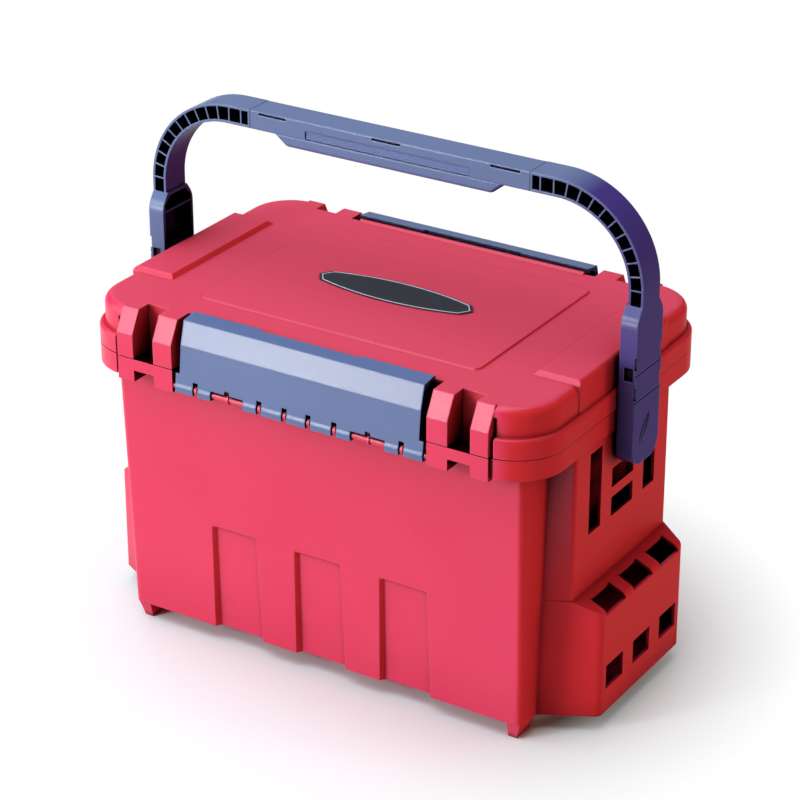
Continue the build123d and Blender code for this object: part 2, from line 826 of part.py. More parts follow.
def beam_outline(inset, low, end_x):
    """Front view of the right arm: up from its leg, round the bend and in to the grip."""
    outer_x = leg_outer_x - inset
    outer_z = handle_top - inset
    inner_x = arm_inner_x + inset
    inner_z = grip_low + inset
    outer_arc = RadiusArc((arm_bend_x, outer_z), (outer_x, arm_bend_z), arm_bend - inset)
    inner_arc = RadiusArc((arm_inner_bend_x, inner_z), (inner_x, arm_inner_bend_z), arm_inner_bend + inset)
    return make_face(
        [
            outer_arc,
            Polyline(outer_arc @ 1, (outer_x, low), (inner_x, low), inner_arc @ 1),
            inner_arc,
            Polyline(inner_arc @ 0, (end_x, inner_z), (end_x, outer_z), outer_arc @ 0),
        ]
    )


def arm_ribs():
    """Thin ribs across the arm, fanned round its bend."""
    reach = arm_bend + overrun
    ribs = block(around(arm_end_rib_x, arm_rib / 2), even(arm_half_y), (grip_low, handle_top))
    for number in range(arm_rib_count):
        angle = between(arm_first_rib_angle, arm_last_rib_angle, number / (arm_rib_count - 1))
        rib = Pos(reach / 2, 0, 0) * Box(reach, 2 * arm_half_y, arm_rib)
        ribs += Pos(arm_bend_x, 0, arm_bend_z) * Rot(0, -angle, 0) * rib
    return ribs


def leg_outline(inset):
    """Side view of a leg: rounded foot, straight sides and shoulders up to the arm."""
    half = leg_half_y - inset
    neck = arm_half_y - inset
    low = leg_low + inset
    outline = polygon(
        (-half, low),
        (-half, shoulder_z),
        (-neck, neck_z - inset),
        (neck, neck_z - inset),
        (half, shoulder_z),
        (half, low),
    )
    return fillet(outline.vertices().group_by(Axis.Y)[0], leg_corner - inset)


def leg_mark():
    """Curved crescent let into the leg's outer face over the pivot."""
    run_y = mark_low_y - mark_top_y
    run_z = mark_low_z - mark_top_z
    middle_y = (mark_top_y + mark_low_y) / 2
    middle_z = (mark_top_z + mark_low_z) / 2

    def bowed(share):
        return (middle_y + share * run_z, middle_z - share * run_y)

    top = (mark_top_y, mark_top_z)
    low = (mark_low_y, mark_low_z)
    outline = make_face(
        [
            ThreePointArc(top, bowed(mark_bow_share), low),
            ThreePointArc(low, bowed(mark_bow_share - mark_width_share), top),
        ]
    )
    return along_x(outline, (leg_outer_x - mark_depth, leg_outer_x + overrun))


def leg_details():
    """Grooves and a mark in the leg's outer face, notches in its edges and windows in its sides."""
    cuts = Part()
    for share in leg_groove_shares:
        z = between(leg_low, neck_z, share)
        x_span = (leg_outer_x - leg_groove_depth, leg_outer_x + overrun)
        cuts += block(x_span, even(leg_half_y), (z, z + leg_groove))
    for share in leg_notch_shares:
        z = between(leg_low, neck_z, share)
        x_span = (leg_outer_x - leg_notch_depth, leg_outer_x + overrun)
        y_span = (leg_half_y - leg_notch_depth, leg_half_y + overrun)
        cuts += front_and_rear(block(x_span, y_span, (z, z + leg_notch_height)))
    x_span = (leg_outer_x - leg_wall - leg_window_width, leg_outer_x - leg_wall)
    y_span = (leg_half_y - leg_wall - overrun, leg_half_y + overrun)
    window = block(x_span, y_span, (leg_window_low, leg_window_low + leg_window_height))
    return cuts + front_and_rear(window) + leg_mark()


def build_leg():
    """Right leg, open towards the box, with a boss for the pivot stud."""
    leg = along_x(leg_outline(0), (leg_inner_x, leg_outer_x))
    shoulders = leg.edges().filter_by(Axis.X).group_by(Axis.Z)[-2]
    leg = fillet(shoulders, shoulder_edge)
    leg -= along_x(leg_outline(leg_wall), (leg_inner_x - overrun, leg_outer_x - leg_wall))
    inside = (leg_inner_x, leg_outer_x - leg_wall / 2)
    boss = rod(leg_boss_radius, inside, 0, pivot_z)
    for share in leg_rib_shares:
        z = between(leg_low, neck_z, share)
        boss += block(inside, even(leg_half_y - leg_wall / 2), around(z, arm_rib / 2))
    bore = rod(stud_radius + stud_clearance, (leg_inner_x - overrun, leg_outer_x - leg_wall), 0, pivot_z)
    return leg + boss - bore - leg_details()


def build_arm():
    """Right handle arm: a ribbed beam with a web between its flanges, on its leg."""
    depth = arm_half_y
    beam = extrude(Plane.XZ * beam_outline(0, neck_z - leg_wall, arm_end_x), depth, both=True)
    cells = extrude(Plane.XZ * beam_outline(arm_flange, neck_z, arm_end_x + arm_end_wall), depth, both=True)
    web = block((arm_end_x, leg_outer_x), even(arm_web / 2), (neck_z - leg_wall, handle_top))
    return beam - (cells - web - arm_ribs()) + build_leg()


def build_grip():
    """Grip bar between the arms, open below, with slits and a sunk panel on each side."""
    bar = block(even(arm_end_x), even(arm_half_y), (grip_low, handle_top))
    bar = fillet(bar.edges().filter_by(Axis.X).group_by(Axis.Z)[-1], grip_edge)
    hollow_z = (grip_low - overrun, handle_top - grip_wall)
    bar -= block(even(arm_end_x - grip_wall), even(arm_half_y - grip_wall), hollow_z)
    z_high = handle_top - slit_drop
    for share in slit_place_shares:
        x = share * arm_end_x
        y_span = (arm_half_y - slit_depth, arm_half_y + overrun)
        bar -= front_and_rear(block(around(x, slit_half), y_span, (z_high - slit_height, z_high)))
    inset_z = grip_low + inset_rise + inset_height / 2
    outline = Pos(0, inset_z) * RectangleRounded(2 * inset_half, inset_height, inset_corner)
    floor = Plane(origin=(0, arm_half_y - inset_depth, 0), x_dir=(-1, 0, 0), z_dir=(0, 1, 0))
    return bar - front_and_rear(extrude(floor * outline, inset_depth + overrun))


def build_palm():
    """Palm grip under the bar, slanted at its ends and rounded below."""
    outline = polygon(
        (-palm_half_high, grip_low),
        (-palm_half_low, palm_low),
        (palm_half_low, palm_low),
        (palm_half_high, grip_low),
    )
    outline = fillet(outline.vertices().group_by(Axis.Y)[0], palm_corner)
    palm = extrude(Plane.XZ * outline, arm_half_y, both=True)
    palm = fillet(palm.edges().filter_by(Axis.X).group_by(Axis.Z)[0], palm_edge)
    hollow_z = (palm_low + grip_wall, grip_low + overrun)
    return palm - block(even(palm_half_low - grip_wall), even(arm_half_y - grip_wall), hollow_z)


def left(part):
    """Image of a right-hand part on the left."""
    return mirror(part, about=Plane.YZ)


rim = build_rim()
rim_rear = (rim - both_ends(rim_end())) & block(even(rim_half_x), (0, far_y), (0, far_z))
rear_foot = build_foot()
rack_panel = build_rack_panel()
rack_block = build_rack_block()
stud = build_stud()
buckle = build_buckle()
arm = build_arm()

nodes = {
    "tub": build_tub(),
    "rim_right": rim & rim_end(),
    "rim_left": left(rim & rim_end()),
    "rim_rear": rim_rear,
    "rim_front": mirror(rim_rear, about=Plane.XZ),
    "foot_rear_right": rear_foot,
    "foot_rear_left": left(rear_foot),
    "foot_front_right": mirror(rear_foot, about=Plane.XZ),
    "foot_front_left": left(mirror(rear_foot, about=Plane.XZ)),
    "rack_panel_right": rack_panel,
    "rack_panel_left": left(rack_panel),
    "rack_block_right": rack_block,
    "rack_block_left": left(rack_block),
    "pivot_stud_right": stud,
    "pivot_stud_left": left(stud),
    "lid": build_lid(),
    "emblem_plate": build_emblem(),
    "rear_buckle": buckle,
    "front_buckle": mirror(buckle, about=Plane.XZ),
    "handle_arm_right": arm,
    "handle_arm_left": left(arm),
    "grip_bar": build_grip(),
    "palm_grip": build_palm(),
}

os.makedirs("parts", exist_ok=True)
for name, part in nodes.items():
    export_step(part, f"parts/{name}.step")
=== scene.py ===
import math
from typing import NamedTuple

import bmesh
import bpy
import numpy as np
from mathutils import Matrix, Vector


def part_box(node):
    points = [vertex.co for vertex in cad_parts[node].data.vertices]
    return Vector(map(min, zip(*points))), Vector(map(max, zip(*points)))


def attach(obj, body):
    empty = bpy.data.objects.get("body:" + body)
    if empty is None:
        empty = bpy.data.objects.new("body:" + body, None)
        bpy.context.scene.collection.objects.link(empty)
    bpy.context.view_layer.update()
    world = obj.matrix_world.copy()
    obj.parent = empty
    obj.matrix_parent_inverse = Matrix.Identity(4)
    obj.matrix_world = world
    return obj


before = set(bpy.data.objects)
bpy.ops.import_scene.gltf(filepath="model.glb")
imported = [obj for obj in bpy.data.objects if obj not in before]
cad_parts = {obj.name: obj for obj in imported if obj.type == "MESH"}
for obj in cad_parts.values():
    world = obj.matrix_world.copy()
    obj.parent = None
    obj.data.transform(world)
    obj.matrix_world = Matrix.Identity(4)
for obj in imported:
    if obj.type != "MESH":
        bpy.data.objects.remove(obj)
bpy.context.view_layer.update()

bl_info = {
    "name": "Seat box finish",
    "version": (1, 0, 0),
    "blender": (4, 5, 0),
    "location": "View3D > Sidebar > Seat box",
    "description": "Moulded finishes, trim and studio for a seat box with side racks and a carrying handle",
    "category": "Object",
}

# CAD nodes by finish

TUB_NODES = (
    "tub",
    "foot_front_left",
    "foot_front_right",
    "foot_rear_left",
    "foot_rear_right",
)
LID_NODES = ("lid",)
JOINED_NODES = (
    "rim_front",
    "rim_rear",
    "rim_left",
    "rim_right",
    "rack_panel_left",
    "rack_panel_right",
    "rack_block_left",
    "rack_block_right",
)
BLUE_NODES = ("front_buckle", "rear_buckle", "palm_grip")
ARM_NODES = ("handle_arm_left", "handle_arm_right")
GRIP_NODES = ("grip_bar",)
STUD_NODES = ("pivot_stud_left", "pivot_stud_right")
PLATE_NODES = ("emblem_plate",)

# Colours that every finish shares

BLACK = (0.0, 0.0, 0.0)
WHITE = (1.0, 1.0, 1.0)

# Noise: scale per metre and detail of each kind, and the part of its range that is spread over its effect

FLOW_NOISE = (7.0, 3.0)
GLOSS_NOISE = (190.0, 4.0)
GRAIN_NOISE = (1300.0, 2.0)
SMEAR_NOISE = (60.0, 3.0)
NOISE_ROUGHNESS = 0.55
NOISE_RANGE = (0.3, 0.7)

# Moulded surface: flow marks, paler edges, spread of its roughness, grain

FLOW_DARKER = 0.03
FLOW_PALER = 0.08
EDGE_SAMPLES = 6
PALER_EDGE_TURN = (0.99, 0.80)
PALER_EDGE_MOST = 0.5
ROUGHNESS_SPREAD = (-0.015, 0.02)
GRAIN_STRENGTH = 0.35

# Matt faces: how far a normal turns to the right or up, and the gloss that is left there

# Faces turned to the right by this turn also take their darker side colour: a painted shade
SIDE_TURN = (0.15, 0.42)
# Faces turned up by this turn on the lid also take its paler top colour: a painted sheen
TOP_TURN = (0.80, 0.97)
MATT_GLOSS = 0.03

# Painted shade in hollows: reach in metres, openness between which they darken, and how dark they get; the
# painted shade of a lee also fades out between two heights over the floor

HOLLOW_SAMPLES = 6
CREVICE_REACH = 0.006
CREVICE_OPENNESS = (0.92, 0.48)
CREVICE_DARKNESS = 0.70
HOLLOW_REACH = 0.08
LEE_OPENNESS = (0.88, 0.52)
LEE_HEIGHT = (0.02, 0.09)
HOLLOW_DARKNESS = 0.97

# Dark joint at the ends of a bar

SEAM_DARKNESS = 0.85
SEAM_SOFT = 0.7

# Printed plates

SMEAR_SPREAD = (-0.06, 0.1)
SMEAR_PALER = 0.03

# Steps and shares of the trim: the emblem's border has its points further in than its sides, by whole insets

POINT_INSETS = 2
SHOULDER_ALONG = 0.911
SHOULDER_ACROSS = 0.489
BOW_STEPS = 64
POINT_STEPS = 16
BORDER_CROWN = 0.8
RIB_STEPS = 12
RIB_PALER = 0.3
MARK_STEPS = 48

# Studio

FLOOR_ROUGHNESS = 0.9
FLOOR_GLOSS = 0.1
CAMERA_REACH = 50.0
COOL = (0.88, 0.94, 1.0)
PALE = (1.0, 0.96, 0.88)
WARM = (1.0, 0.62, 0.36)


class Plastic(NamedTuple):
    """Colours and surface of one moulded plastic."""

    colour: tuple
    # side: darker colour of painted shade, on faces turned to the right and in a lee
    side: tuple
    edge: tuple
    roughness: float
    gloss: float


class Hollow(NamedTuple):
    """How a moulding darkens with painted shade where it sees little of its surroundings.

    It goes black between two values of openness, in full from a height over the floor, and a half-closed
    place takes its side colour, darkened by the lee.
    """

    black_from: float
    black_at: float
    lee: float
    height: float


class Lamp(NamedTuple):
    """Soft lamp: its place and target in metres, its two sizes, its power in watts and its tint."""

    name: str
    place: tuple
    target: tuple
    size: tuple
    power: float
    tint: tuple


# Painted shade in hollows, for open, dark and tub mouldings
OPEN_HOLLOW = Hollow(black_from=0.42, black_at=0.22, lee=0.25, height=0.001)
DARK_HOLLOW = Hollow(black_from=0.64, black_at=0.47, lee=0.60, height=0.001)
TUB_HOLLOW = DARK_HOLLOW._replace(height=0.1)

LAMPS = (
    Lamp("key", (-2.5, -1.9, 1.2), (0.0, 0.0, 0.25), (3.0, 2.0), 46.0, COOL),
    Lamp("bevel", (-1.54, -2.69, 1.55), (0.0, 0.0, 0.25), (0.6, 0.4), 35.0, COOL),
    Lamp("strip", (-1.52, -2.75, 0.37), (0.0, 0.0, 0.25), (0.9, 0.4), 32.0, PALE),
    Lamp("fill", (2.9, 1.5, 0.5), (0.0, 0.0, 0.2), (0.8, 0.8), 30.0, WARM),
    Lamp("top", (-0.6, -0.4, 3.1), (0.0, 0.0, 0.3), (3.4, 3.4), 130.0, COOL),
    Lamp("sheen", (-1.5, 2.4, 1.7), (0.0, 0.0, 0.3), (3.0, 2.0), 10.0, COOL),
)


def colour_property(label, words, value):
    """Colour that a user can change, in scene-linear red, green and blue."""
    return bpy.props.FloatVectorProperty(
        name=label, description=words, default=value, size=3, min=0.0, max=1.0, subtype="COLOR"
    )


def length_property(label, words, value):
    """Length in metres that a user can change."""
    return bpy.props.FloatProperty(
        name=label, description=words, default=value, min=0.0, unit="LENGTH", subtype="DISTANCE", precision=5
    )


def share_property(label, words, value):
    """Plain share from nought to one that a user can change."""
    return bpy.props.FloatProperty(
        name=label, description=words, default=value, min=0.0, max=1.0, subtype="FACTOR"
    )


def angle_property(label, words, degrees):
    """Angle that a user can change, shown in degrees."""
    return bpy.props.FloatProperty(
        name=label, description=words, default=math.radians(degrees), subtype="ANGLE"
    )


def lens_property(label, words, value):
    """Length inside the camera in millimetres that a user can change."""
    return bpy.props.FloatProperty(name=label, description=words, default=value, unit="CAMERA")


class SEATBOX_PG_finish(bpy.types.PropertyGroup):
    """Colours and surface of the mouldings."""

    red: colour_property("Red", "Colour of the tub, racks and lid", (0.62, 0.013, 0.066))
    # Painted shade: red faces turned to the right and half-closed places take this darker side colour
    red_side_shade: colour_property("Red sides", "Colour of the matt red sides", (0.64, 0.028, 0.034))
    # Painted sheen: the lid's matt top takes this paler top colour
    red_top_sheen: colour_property("Red top", "Colour of the lid's matt top", (0.60, 0.056, 0.100))
    # Paler colour along rounded edges
    red_edge: colour_property("Red edges", "Colour of rubbed red edges", (0.74, 0.12, 0.19))
    blue: colour_property("Blue", "Colour of the buckles and handle", (0.078, 0.116, 0.250))
    # Painted shade: blue faces turned to the right, half-closed places and the right arm take this colour
    blue_side_shade: colour_property("Blue sides", "Colour of the matt blue sides", (0.060, 0.038, 0.205))
    blue_edge: colour_property("Blue edges", "Colour of rubbed blue edges", (0.16, 0.20, 0.40))
    emblem: colour_property("Emblem", "Colour of the plate on the lid", (0.006, 0.007, 0.016))
    border: colour_property("Emblem border", "Colour of the line round the plate", (0.46, 0.48, 0.53))
    stud: colour_property("Studs", "Colour of the handle's pivot studs", (0.012, 0.012, 0.018))
    rough_red: share_property("Red roughness", "Roughness of the red and black mouldings", 0.34)
    rough_blue: share_property("Blue roughness", "Roughness of the blue moulding", 0.29)
    rough_plate: share_property("Plate roughness", "Roughness of the plate on the lid", 0.34)
    rough_border: share_property("Border roughness", "Roughness of the line round the plate", 0.3)
    gloss_red: share_property("Red gloss", "Strength of the red moulding's gloss", 0.45)
    gloss_blue: share_property("Blue gloss", "Strength of the blue moulding's gloss", 0.50)
    gloss_black: share_property("Black gloss", "Strength of the black moulding's gloss", 0.30)
    gloss_plate: share_property("Plate gloss", "Strength of the plate's and trim's gloss", 0.07)
    edge_radius: length_property("Edge radius", "Rounding of the moulded edges", 0.0018)
    grain_depth: length_property("Grain depth", "Depth of the moulded grain", 0.00006)
    # Painted shade: the right arm goes over to its side colour along x
    shade_from: length_property("Arm shade from", "Where the right arm starts to take its side colour", 0.17)
    shade_at: length_property("Arm shade at", "Where the right arm has the most of its side colour", 0.25)
    shade_most: share_property("Arm shade", "Most of the side colour on the right arm", 0.8)


class SEATBOX_PG_trim(bpy.types.PropertyGroup):
    """Sizes of the thin trim that the scene adds."""

    border_inset: length_property("Border inset", "From the plate's edge to its border line", 0.0018)
    border_width: length_property("Border width", "Width of the plate's border line", 0.0011)
    border_height: length_property("Border height", "Height of the border line over the plate", 0.0003)
    ribs_half: length_property("Grip ribs half length", "Half length of the ribs in the sunk panel", 0.0872)
    ribs_low: length_property("Grip ribs low", "From the grip's underside to the lowest rib", 0.0010)
    ribs_height: length_property("Grip ribs height", "Height of the band of ribs", 0.0076)
    ribs_floor: length_property("Grip ribs floor", "Depth of the sunk panel that the ribs stand in", 0.0010)
    ribs_rise: length_property("Grip ribs rise", "How far a rib stands out of the band", 0.0004)
    ribs_skin: length_property("Grip ribs skin", "How far the band stands out of the panel's floor", 0.00002)
    ribs_root: length_property("Grip ribs root", "How far the band reaches into the panel's floor", 0.0002)
    ribs_count: bpy.props.IntProperty(
        name="Grip ribs", description="Number of ribs in the panel", default=4, min=1
    )
    seam_width: length_property("Seam width", "Width of the dark joint at both ends of the grip bar", 0.0010)
    # Painted shade: the mark is a thin dark leaf for the shade in a leaf-shaped recess of a leg
    mark_top_y: length_property("Mark top", "From a leg's middle back to the top of its mark", 0.0045)
    mark_low_y: length_property("Mark foot", "From a leg's middle forward to the foot of its mark", 0.0138)
    mark_top_rise: length_property("Mark top rise", "From a leg's foot to the top of its mark", 0.047)
    mark_low_rise: length_property("Mark foot rise", "From a leg's foot to the foot of its mark", 0.021)
    mark_half: length_property("Mark half width", "Half the greatest width of the mark", 0.0021)
    mark_bow: length_property("Mark bow", "How far the mark bows off a straight line", 0.0036)
    mark_rise: length_property("Mark thickness", "How far the dark mark stands off the leg", 0.0001)
    window_rise: length_property("Window rise", "From a leg's foot to the windows in its sides", 0.085)
    window_height: length_property("Window height", "Height of a window in a leg", 0.013)
    window_width: length_property("Window width", "Width of a window in a leg", 0.009)
    leg_wall: length_property("Leg wall", "Wall of the legs round the windows", 0.003)
    # Painted shade: a dark sheet behind a window stands for the shade inside a leg
    shade_sheet: length_property("Liner", "Thickness of the dark liner behind a window", 0.0008)


class SEATBOX_PG_stage(bpy.types.PropertyGroup):
    """Camera, floor and surroundings."""

    camera_x: length_property("Camera right", "Camera's place along the front", 1.25094)
    camera_y: length_property("Camera distance", "Camera's place before the front", 1.97652)
    camera_z: length_property("Camera height", "Camera's height", 1.36802)
    azimuth: angle_property("Azimuth", "Camera's turn round the box", 32.2185)
    elevation: angle_property("Elevation", "Camera's tilt over the horizon", 25.806)
    lens: lens_property("Lens", "Focal length on the sensor", 123.41)
    sensor: lens_property("Sensor", "Width of the sensor", 36.0)
    floor: colour_property("Floor", "Colour of the floor", (0.80, 0.80, 0.80))
    floor_half: length_property("Floor half size", "Half size of the floor", 6.0)
    shadow_from: length_property("Shadow fades from", "From the middle to where it starts to fade", 0.24)
    shadow_to: length_property("Shadow fades to", "From the middle to where the floor is plain white", 0.40)
    around: share_property("Surroundings", "Strength of the even surrounding light", 0.05)


# Meshes


def mesh_object(name, points, faces, body):
    """Mesh piece that rides on a CAD body."""
    mesh = bpy.data.meshes.new(name)
    mesh.from_pydata(points.reshape(-1, 3).tolist(), [], faces.reshape(-1, 4).tolist())
    mesh.validate()
    outward = bmesh.new()
    outward.from_mesh(mesh)
    bmesh.ops.recalc_face_normals(outward, faces=outward.faces)
    outward.to_mesh(mesh)
    outward.free()
    mesh.update()
    piece = bpy.data.objects.new(name, mesh)
    bpy.context.scene.collection.objects.link(piece)
    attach(piece, body)
    return piece


def loop_faces(rings, around):
    """Quads of a closed tube: ring i joins ring i + 1, and the last joins the first."""
    i, j = np.meshgrid(np.arange(rings), np.arange(around), indexing="ij")
    ni, nj = (i + 1) % rings, (j + 1) % around
    return np.stack([i * around + j, ni * around + j, ni * around + nj, i * around + nj], axis=-1)


def grid_faces(grid):
    """Quads of an open grid of point numbers: (i, j), (i + 1, j), (i + 1, j + 1) and (i, j + 1)."""
    return np.stack([grid[:-1, :-1], grid[1:, :-1], grid[1:, 1:], grid[:-1, 1:]], axis=-1).reshape(-1, 4)


def swept_loop(path, profile, sideways):
    """Profile carried round a closed flat path.

    point(i, j) = path(i) + profile(j).u * outward(i) + profile(j).v * sideways, where outward is the
    path's tangent crossed with sideways.
    """
    ahead = np.roll(path, -1, axis=0) - np.roll(path, 1, axis=0)
    tangent = ahead / np.linalg.norm(ahead, axis=1, keepdims=True)
    outward = np.cross(tangent, sideways)
    u, v = profile[:, 0], profile[:, 1]
    offset = u[None, :, None] * outward[:, None, :] + v[None, :, None] * np.asarray(sideways)
    return path[:, None, :] + offset, loop_faces(len(path), len(profile))


def straight_plate(front, back, low, high):
    """Closed plate carried straight along x from low to high between two (y, z) edges of its section.

    point(e, i, s) = (x(e), y(i, s), z(i, s)), e the end, i the step up the section, s front or back.
    """
    count = len(front)
    section = np.stack([front, back], axis=1)
    ends = np.array([low, high])
    points = np.zeros((2, count, 2, 3))
    points[..., 0] = ends[:, None, None]
    points[..., 1:] = section[None]
    index = np.arange(4 * count).reshape(2, count, 2)
    sides = [index[:, :, 0], index[:, :, 1], index[0], index[1], index[:, 0, :], index[:, -1, :]]
    return points, np.concatenate([grid_faces(side) for side in sides])


def box_plate(low, high):
    """Closed box between two corners: corner (i, j, k) = (x(i), y(j), z(k))."""
    x, y, z = zip(low, high)
    points = np.stack(np.meshgrid(x, y, z, indexing="ij"), axis=-1)
    index = np.arange(8).reshape(2, 2, 2)
    sides = [index[0], index[1], index[:, 0], index[:, 1], index[:, :, 0], index[:, :, 1]]
    return points, np.concatenate([grid_faces(side) for side in sides])


def bowed_leaf(top, foot, bow, half_width, steps):
    """Two edges of a leaf along a bowed line, broad near its top and drawn out to its foot.

    middle(t) = top + t (foot - top) + 4 bow t (1 - t) across, half(t) = half_width sin(pi sqrt(t)).
    """
    t = np.linspace(0.0, 1.0, steps)[:, None]
    along = np.asarray(foot) - np.asarray(top)
    across = np.array([-along[1], along[0]]) / np.linalg.norm(along)
    middle = np.asarray(top) + t * along + 4.0 * bow * t * (1.0 - t) * across
    half = half_width * np.sin(np.pi * np.sqrt(t))
    return middle + half * across, middle - half * across


def pointed_oval(half_x, half_y, shoulder_x, shoulder_y, bow_steps, point_steps):
    """Outline of the emblem plate: a bowed long side from shoulder to shoulder, then straight to a point.

    A bowed side is an arc of radius r = (shoulder_x^2 + rise^2) / (2 rise), rise = half_y - shoulder_y.
    """
    rise = half_y - shoulder_y
    radius = (shoulder_x**2 + rise**2) / (2 * rise)
    x = np.linspace(shoulder_x, -shoulder_x, bow_steps)
    y = np.sqrt(radius**2 - x**2) - radius + half_y
    t = np.linspace(0.0, 1.0, point_steps)[1:-1]
    bow = np.stack([x, y], axis=1)
    to_point = np.stack([-shoulder_x + (shoulder_x - half_x) * t, shoulder_y * (1 - t)], axis=1)
    half = np.concatenate([bow, to_point, [[-half_x, 0.0]], to_point[::-1] * [1, -1]])
    return np.concatenate([half, -half])


# Materials


def blend(colour, other, share):
    """Colour a share of the way to another."""
    return [a + (b - a) * share for a, b in zip(colour, other)]


def rgba(colour):
    """Colour with full alpha."""
    return (*colour, 1.0)


def principled(name):
    """New material with its node tree and its main shader."""
    material = bpy.data.materials.new(name)
    material.use_nodes = True
    return material, material.node_tree, material.node_tree.nodes["Principled BSDF"]


def noise(tree, scale, detail):
    """Noise over Object coordinates, returned as its factor socket."""
    place = tree.nodes.new("ShaderNodeTexCoord")
    texture = tree.nodes.new("ShaderNodeTexNoise")
    texture.inputs["Scale"].default_value = scale
    texture.inputs["Detail"].default_value = detail
    texture.inputs["Roughness"].default_value = NOISE_ROUGHNESS
    tree.links.new(place.outputs["Object"], texture.inputs["Vector"])
    return texture.outputs["Fac"]


def map_range(tree, value, low, high, to_low, to_high):
    """Value carried from one range to another and held inside it."""
    node = tree.nodes.new("ShaderNodeMapRange")
    node.clamp = True
    for key, number in (("From Min", low), ("From Max", high), ("To Min", to_low), ("To Max", to_high)):
        node.inputs[key].default_value = number
    tree.links.new(value, node.inputs["Value"])
    return node.outputs["Result"]


def share_between(tree, value, low, high):
    """Share that goes from nought to one as a value goes from low to high."""
    return map_range(tree, value, low, high, 0.0, 1.0)


def combined(tree, operation, first, second):
    """Two values joined by an operation, such as their product or the larger of them."""
    node = tree.nodes.new("ShaderNodeMath")
    node.operation = operation
    tree.links.new(first, node.inputs[0])
    tree.links.new(second, node.inputs[1])
    return node.outputs["Value"]


def mix_colour(tree, factor, first, second):
    """Colour mixed by a factor; first and second are colours or sockets."""
    node = tree.nodes.new("ShaderNodeMix")
    node.data_type = "RGBA"
    tree.links.new(factor, node.inputs["Factor"])
    for key, value in (("A", first), ("B", second)):
        socket = next(s for s in node.inputs if s.name == key and s.type == "RGBA")
        if isinstance(value, bpy.types.NodeSocket):
            tree.links.new(value, socket)
        else:
            socket.default_value = rgba(value)
    return next(s for s in node.outputs if s.type == "RGBA")


def axis_part(tree, vector, axis):
    """One part of a vector socket, along x, y or z."""
    parts = tree.nodes.new("ShaderNodeSeparateXYZ")
    tree.links.new(vector, parts.inputs["Vector"])
    return parts.outputs[axis]


def place_along(tree, axis):
    """Place of a surface along an axis, in metres."""
    return axis_part(tree, tree.nodes.new("ShaderNodeTexCoord").outputs["Object"], axis)


def facing_share(tree, axis, low, high):
    """Share of a surface that faces along an axis."""
    facing = tree.nodes.new("ShaderNodeNewGeometry").outputs["Normal"]
    return share_between(tree, axis_part(tree, facing, axis), low, high)


def end_share(tree, half, width):
    """Share of a surface that lies in the last stretch before both ends of a bar along x."""
    across = tree.nodes.new("ShaderNodeMath")
    across.operation = "ABSOLUTE"
    tree.links.new(place_along(tree, "X"), across.inputs[0])
    return share_between(tree, across.outputs["Value"], half - width, half - width * SEAM_SOFT)


def openness(tree, reach):
    """Share of the sky that a surface sees within a reach: one in the open, nought deep in a hollow."""
    sky = tree.nodes.new("ShaderNodeAmbientOcclusion")
    sky.samples = HOLLOW_SAMPLES
    sky.inputs["Distance"].default_value = reach
    return sky.outputs["AO"]


def rounded_edges(tree, radius):
    """Normal rounded over the edges, and the share of a surface that is paler there.

    The share grows as the dot product of the rounded and the flat normal falls.
    """
    rounded = tree.nodes.new("ShaderNodeBevel")
    rounded.samples = EDGE_SAMPLES
    rounded.inputs["Radius"].default_value = radius
    flat = tree.nodes.new("ShaderNodeNewGeometry")
    turn = tree.nodes.new("ShaderNodeVectorMath")
    turn.operation = "DOT_PRODUCT"
    tree.links.new(rounded.outputs["Normal"], turn.inputs[0])
    tree.links.new(flat.outputs["Normal"], turn.inputs[1])
    return rounded.outputs["Normal"], map_range(tree, turn.outputs["Value"], *PALER_EDGE_TURN, 0.0, PALER_EDGE_MOST)


def body_colour(tree, plastic, far, top):
    """Colour with flow marks, side colour as painted shade, top colour as painted sheen, and the matt share.
    """
    darker = blend(plastic.colour, BLACK, FLOW_DARKER)
    paler = blend(plastic.colour, plastic.edge, FLOW_PALER)
    flow = share_between(tree, noise(tree, *FLOW_NOISE), *NOISE_RANGE)
    # Painted shade: faces turned to the right take the darker side colour
    matt = side_shade_share = facing_share(tree, "X", *SIDE_TURN)
    # Painted shade: along x the right arm goes over to its side colour
    if far is not None:
        low, high, most = far
        side_shade_share = combined(tree, "MAXIMUM", side_shade_share, map_range(tree, place_along(tree, "X"), low, high, 0.0, most))
    body = mix_colour(tree, side_shade_share, mix_colour(tree, flow, darker, paler), plastic.side)
    # Painted sheen: faces turned up take the paler top colour
    if top is not None:
        up = facing_share(tree, "Z", *TOP_TURN)
        body = mix_colour(tree, up, body, top)
        matt = combined(tree, "MAXIMUM", matt, up)
    return body, matt


def shaded_hollows(tree, colour, plastic, hollow):
    """Colour with painted shade in crevices, half-closed places and deep hollows, and the share painted
    black.

    Height over the floor is a factor in it, so that the floor's nearness does not count as a hollow.
    """
    fine, wide = openness(tree, CREVICE_REACH), openness(tree, HOLLOW_REACH)
    height = place_along(tree, "Z")
    crevice = share_between(tree, fine, *CREVICE_OPENNESS)
    half_closed, clear = share_between(tree, wide, *LEE_OPENNESS), share_between(tree, height, *LEE_HEIGHT)
    lee = combined(tree, "MULTIPLY", half_closed, clear)
    closed = share_between(tree, wide, hollow.black_from, hollow.black_at)
    black = combined(tree, "MULTIPLY", closed, share_between(tree, height, 0.0, hollow.height))
    # Painted shade: crevices, half-closed places and deep hollows darken by how little they see
    shaded = mix_colour(tree, crevice, colour, blend(plastic.colour, BLACK, CREVICE_DARKNESS))
    shaded = mix_colour(tree, lee, shaded, blend(plastic.side, BLACK, hollow.lee))
    return mix_colour(tree, black, shaded, blend(plastic.colour, BLACK, HOLLOW_DARKNESS)), black


